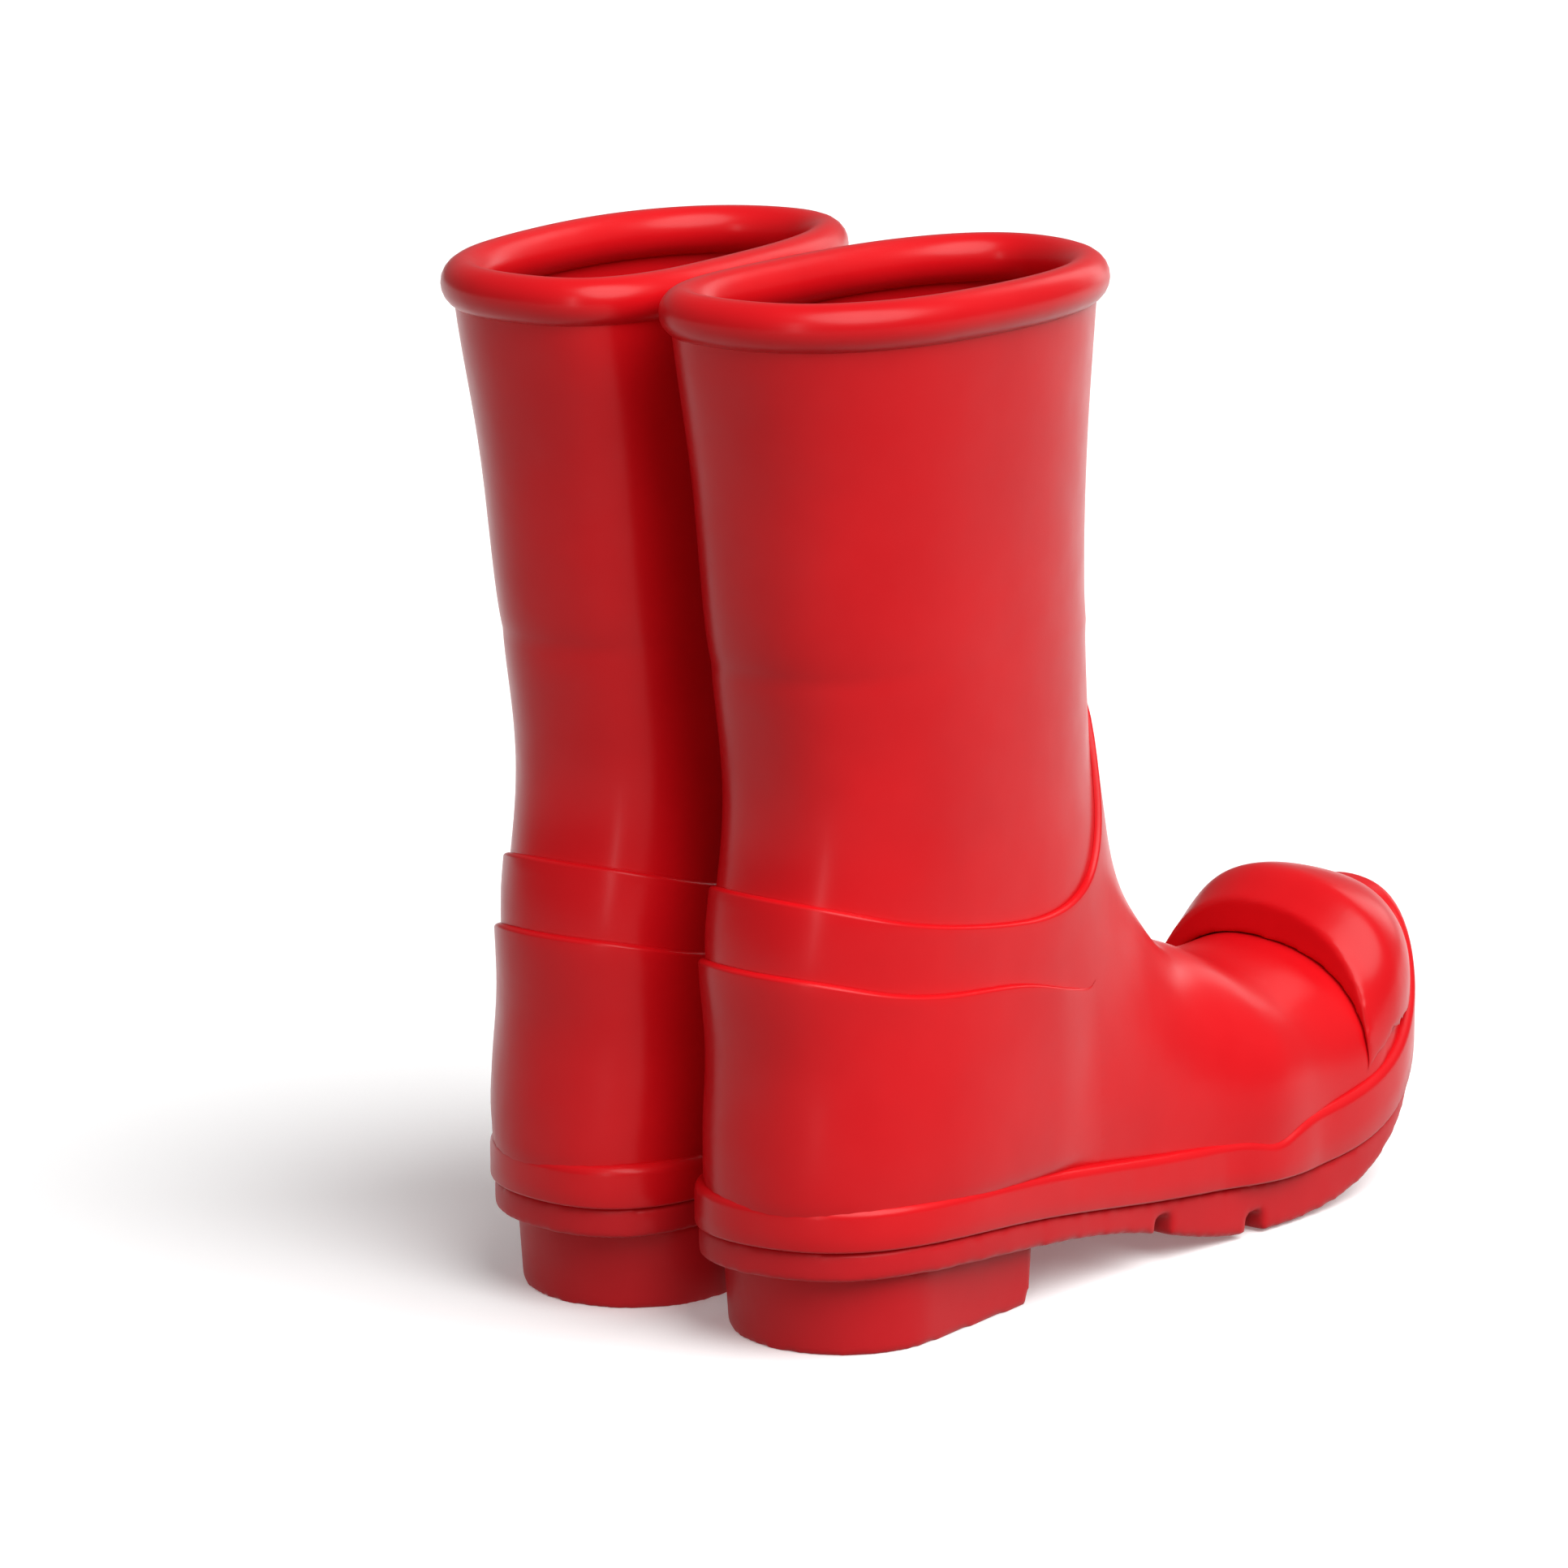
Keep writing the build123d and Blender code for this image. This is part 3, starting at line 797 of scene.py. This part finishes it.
def shell_reach(surface, turns, low, high):
    """How far the foot shell's surface reaches in each direction between two heights."""
    points = (surface.reshape(-1, 3) - heel_rest) @ BOOT_AXES.T
    across = points[:, 0]
    back = points[:, 1] - SOLE_MIDDLE
    bins = np.round(np.arctan2(across, back) / (2 * math.pi) * len(turns)).astype(int) % len(turns)
    reach = np.hypot(across, back)
    wanted = (points[:, 2] > low[bins]) & (points[:, 2] < high[bins])
    widest = np.zeros(len(turns))
    np.maximum.at(widest, bins[wanted], reach[wanted])
    return widest


def ring_mesh(name, sections):
    """A closed ring swept through sections, each a loop of points in the boot's directions."""
    mesh = bmesh.new()
    loops = [[mesh.verts.new(point) for point in from_boot(section)] for section in sections]
    for loop, following in zip(loops, loops[1:] + loops[:1]):
        for index in range(len(loop)):
            beside = (index + 1) % len(loop)
            mesh.faces.new([loop[index], loop[beside], following[beside], following[index]])
    bmesh.ops.recalc_face_normals(mesh, faces=mesh.faces)
    data = bpy.data.meshes.new(name)
    mesh.to_mesh(data)
    mesh.free()
    return data


def outward_sides(outline):
    """Level unit vectors that point out of a closed outline, one at each of its points."""
    tangent = np.roll(outline, -1, axis=0) - np.roll(outline, 1, axis=0)
    sides = np.stack([-tangent[:, 1], tangent[:, 0]], axis=1)
    sides /= np.linalg.norm(sides, axis=1, keepdims=True)
    from_middle = outline[:, :2] - outline[:, :2].mean(axis=0)
    return sides * np.sign((sides * from_middle).sum(axis=1))[:, None]


def band_profile(bottom, top):
    """The band's section, as depths from its face and heights: foot, face, round edge and ledge."""
    profile = [(BAND_DEPTH, bottom + 0.1 * MM), (1 * MM, bottom + 0.1 * MM),
               (0.3 * MM, bottom + 0.4 * MM), (0, bottom + 1.1 * MM),
               (0, (bottom + top - BAND_CORNER) / 2)]
    for angle in np.radians(np.arange(0, 91, 15)):
        depth = BAND_CORNER * (1 - math.cos(angle))
        profile.append((depth, top - BAND_CORNER * (1 - math.sin(angle))))
    profile.append((BAND_DEPTH, top - 0.5 * MM))
    return profile


def welt_band(shell_surface):
    """Foxing band: an upright face, a rounded upper edge and a ledge that meets the shell."""
    turns = np.arange(AROUND_SOLE) * 2 * math.pi / AROUND_SOLE
    outsole = tree_of("outsole")
    welt = tree_of("welt")
    reaches = np.array([sole_reach(outsole, turn) for turn in turns]) + BAND_PROUD
    low = smooth_ring(band_heights(outsole, reaches - BAND_PROUD, turns), 2)
    thickness = band_heights(welt, reaches - INSIDE_WELT, turns) - low
    neighbours = range(-BAND_SPREAD, BAND_SPREAD + 1)
    thickness = np.max([np.roll(thickness, shift) for shift in neighbours], axis=0)
    high = low + smooth_ring(thickness, BAND_PASSES)
    covered = shell_reach(shell_surface, turns, low, high + 2 * MM) + BAND_OVER_SHELL
    reaches = smooth_ring(np.maximum(reaches, smooth_ring(covered, 3)), 3)
    ways = np.stack([np.sin(turns), np.cos(turns)], axis=1)
    outline = ways * reaches[:, None] + np.array([0, SOLE_MIDDLE])
    inward = -outward_sides(outline)
    sections = []
    for place, side, bottom, top in zip(outline, inward, low, high):
        section = [(*(place + side * depth), height) for depth, height in band_profile(bottom, top)]
        sections.append(section)
    return ring_mesh("left_welt_skin", sections)


def remeshed(node, voxel, rounding):
    """A left CAD node with rounded edges: rebuilt in small cells, then relaxed."""
    data = frame["nodes"]["left_" + node].data.copy()
    helper = bpy.data.objects.new("remesh_helper", data)
    bpy.context.scene.collection.objects.link(helper)
    cells = helper.modifiers.new("cells", "REMESH")
    cells.mode = "VOXEL"
    cells.voxel_size = voxel
    relax = helper.modifiers.new("relax", "SMOOTH")
    relax.factor = 0.5
    relax.iterations = rounding
    view = bpy.context.evaluated_depsgraph_get()
    result = bpy.data.meshes.new_from_object(helper.evaluated_get(view))
    bpy.data.objects.remove(helper)
    bpy.data.meshes.remove(data)
    result.materials.clear()
    result.name = f"left_{node}_skin"
    return result


# ---------------------------------------------------------------- textile sock
LINING_THICKNESS = 1.3 * MM


def sock():
    """Lining: its inner face sampled from the CAD, evened, with one cloth thickness round it."""
    tree = tree_of("lining")
    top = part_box("left_lining")[1].z
    first = next(ring for ring in range(LAST_RING) if ring_line(ring)[0][1] < top - 0.5 * MM)
    inner = sample(innermost, tree, first)
    inside = np.isnan(inner).mean(axis=1) < 0.5
    last = len(inner) if inside.all() else int(np.argmin(inside))
    inner = soften(fill_gaps(inner[:last]), 3, 1)
    points = points_of(inner, first)
    outer = points + normals_of(points) * LINING_THICKNESS
    everywhere = np.ones((len(points) - 1, COLUMNS), bool)
    return shell_mesh("left_lining_skin", outer, points, everywhere, True)


# ---------------------------------------------------------------- rolled rim
rim_low, rim_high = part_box("left_rolled_rim")
RIM_MIDDLE = (rim_low.z + rim_high.z) / 2
BEAD_MIDDLE = -3.4            # millimetres out from the outer face of the leg
BEAD_RADIUS = 7.2
LIP = [(-4.6, 6.8), (-6.6, 5.6), (-8.2, 3.9), (-9.2, 1.8), (-9.5, -0.6), (-9.0, -3.2),
       (-7.6, -5.5), (-5.2, -7.0)]      # millimetres out from the leg, and up from the rim's middle


def rim_bead():
    """Rolled rim: a round outer bead whose top slopes down to a soft inner lip."""
    profile = [(BEAD_MIDDLE + BEAD_RADIUS * math.cos(angle), BEAD_RADIUS * math.sin(angle))
               for angle in np.radians(np.arange(-80, 81, 16))]
    profile += LIP
    contour = smooth_ring((BODY_POINTS[0] - heel_rest) @ BOOT_AXES.T, 3)[:, :2]
    sections = []
    for place, side in zip(contour, outward_sides(contour)):
        section = [(*(place + side * out * MM), RIM_MIDDLE + up * MM) for out, up in profile]
        sections.append(section)
    return ring_mesh("left_rolled_rim_skin", sections)


# ---------------------------------------------------------------- toe cap
TUCK = 4 * MM                 # how far the foot of the cap is drawn down behind the band
TUCK_FADE = 14 * MM           # the height over the band at which it is no longer drawn down
CREST_AHEAD = 20 * MM         # from the rear edge of the cap to its crest
STEP_CUT = 0.42               # share of the cap's thickness that is taken off at its rear edge
TOE_MIDDLE_UP = 50 * MM       # height of the line from which that thickness is measured
CAP_PASSES = 6                # smoothing passes over the finished cap


def tuck_behind_band(mesh):
    """Draw the foot of the cap down, so that no gap shows above the band."""
    band = tree_of("welt")
    for vert in mesh.vertices:
        across, back, _ = BOOT_AXES @ (np.array(vert.co) - heel_rest)
        ledge = drop_on(band, across, back)
        if not math.isnan(ledge):
            above = np.array(vert.co.z - ledge)
            vert.co.z -= TUCK * (1 - float(smooth_step(above, 0, TUCK_FADE)))


def lower_rear_edge(mesh):
    """Thin the cap from its crest to its rear edge, down towards the foot shell."""
    shell = tree_of("foot_shell")
    backward = UP.cross(outward)
    rear = max(vert.co @ backward for vert in mesh.vertices)
    for vert in mesh.vertices:
        ahead = rear - vert.co @ backward
        low = 1 - float(smooth_step(np.array(ahead), 1 * MM, CREST_AHEAD))
        if low <= 0:
            continue
        back = BOOT_AXES[1] @ (np.array(vert.co) - heel_rest)
        middle = Vector(from_boot((RING_MIDDLE, back, TOE_MIDDLE_UP)))
        way = vert.co - middle
        reach = way.length
        way.normalize()
        hit = shell.ray_cast(middle + way * SAMPLED_REACH, -way, SAMPLED_REACH)
        if hit[0] is None:
            continue
        under = SAMPLED_REACH - hit[3]
        if reach > under:
            vert.co = middle + way * (under + (reach - under) * (1 - STEP_CUT * low))


def toe_dome():
    """Toe cap, whose crest lies in front of its rear edge, so that a low step faces the vamp."""
    mesh = remeshed("toe_cap", voxel=1 * MM, rounding=10)
    tuck_behind_band(mesh)
    lower_rear_edge(mesh)
    relax = bmesh.new()
    relax.from_mesh(mesh)
    for _ in range(CAP_PASSES):
        bmesh.ops.smooth_vert(relax, verts=relax.verts, factor=0.5, use_axis_x=True,
                              use_axis_y=True, use_axis_z=True)
    relax.to_mesh(mesh)
    relax.free()
    return mesh


# ---------------------------------------------------------------- the studio
make_camera()
make_lights()
make_floor()


# ---------------------------------------------------------------- materials of the CAD nodes
RED_RUBBER = moulded_rubber(
    "red_rubber", light_red=(0.70, 0.006, 0.010), dark_red=(0.63, 0.004, 0.008),
    smooth=0.28, dull=0.36, coat=0.12)
SOLE_RUBBER = moulded_rubber(
    "sole_rubber", light_red=(0.60, 0.010, 0.015), dark_red=(0.52, 0.008, 0.012),
    smooth=0.40, dull=0.50, coat=0.1)
KNITTED_LINING = woven_textile(
    "knitted_lining", light=(0.62, 0.02, 0.03), dark=(0.38, 0.01, 0.015),
    pitch=1.2 * MM, relief=0.2 * MM)
CANVAS = woven_textile(
    "canvas", light=(0.42, 0.38, 0.32), dark=(0.22, 0.19, 0.16),
    pitch=0.9 * MM, relief=0.15 * MM)
INSOLE_FOAM = porous(
    "insole_foam_skin", light=(0.6, 0.03, 0.04), dark=(0.4, 0.015, 0.02),
    cell=0.9 * MM, relief=0.1 * MM)
SPONGE = porous(
    "rubber_sponge_cells", light=(0.10, 0.09, 0.09), dark=(0.03, 0.03, 0.03),
    cell=1.4 * MM, relief=0.3 * MM)
FIBRE_BOARD = porous(
    "fibre_board_flecks", light=(0.55, 0.42, 0.28), dark=(0.4, 0.29, 0.18),
    cell=0.7 * MM, relief=0.05 * MM)
STEEL = brushed_steel()

MATERIAL_OF = {
    "leg_shaft": RED_RUBBER, "rolled_rim": RED_RUBBER, "mouth_facing": RED_RUBBER,
    "foot_shell": RED_RUBBER, "heel_counter": RED_RUBBER, "toe_cap": RED_RUBBER,
    "welt": RED_RUBBER, "outsole": SOLE_RUBBER, "heel_block": SOLE_RUBBER,
    "heel_core": SPONGE, "midsole_filler": SPONGE, "arch_shank": STEEL,
    "insole_board": FIBRE_BOARD, "heel_stiffener": CANVAS, "toe_puff": CANVAS,
    "lining": KNITTED_LINING, "insole": INSOLE_FOAM}

for name, piece in frame["nodes"].items():
    part = name.split("_", 1)[1]
    piece.data.materials.clear()
    piece.data.materials.append(MATERIAL_OF[part])


# ---------------------------------------------------------------- the pieces
SHELL_TOP = LAYER_GAP + OVERLAY
COUNTER_FLOOR = SHELL_TOP + LAYER_GAP
shaft = plain_layer("leg_shaft", -LEG_WALL, 0)
shell, shell_surface = overlay("foot_shell", LAYER_GAP, SHELL_TOP, closed_toe=True)
counter, _ = overlay("heel_counter", COUNTER_FLOOR, COUNTER_FLOOR + OVERLAY, closed_toe=False)
add_pair("leg_shaft", shaft, RED_RUBBER)
add_pair("foot_shell", shell, RED_RUBBER)
add_pair("heel_counter", counter, RED_RUBBER)

for piece in add_pair("lining", sock(), KNITTED_LINING):
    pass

footbed = remeshed("insole", voxel=1 * MM, rounding=8)
for piece in add_pair("insole", footbed, INSOLE_FOAM, own_body=True):
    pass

add_pair("rolled_rim", rim_bead(), RED_RUBBER)
add_pair("welt", welt_band(shell_surface), RED_RUBBER)
add_pair("toe_cap", toe_dome(), RED_RUBBER)
add_pair("outsole", remeshed("outsole", voxel=1 * MM, rounding=16), SOLE_RUBBER)
add_pair("heel_block", remeshed("heel_block", voxel=1 * MM, rounding=5), SOLE_RUBBER)
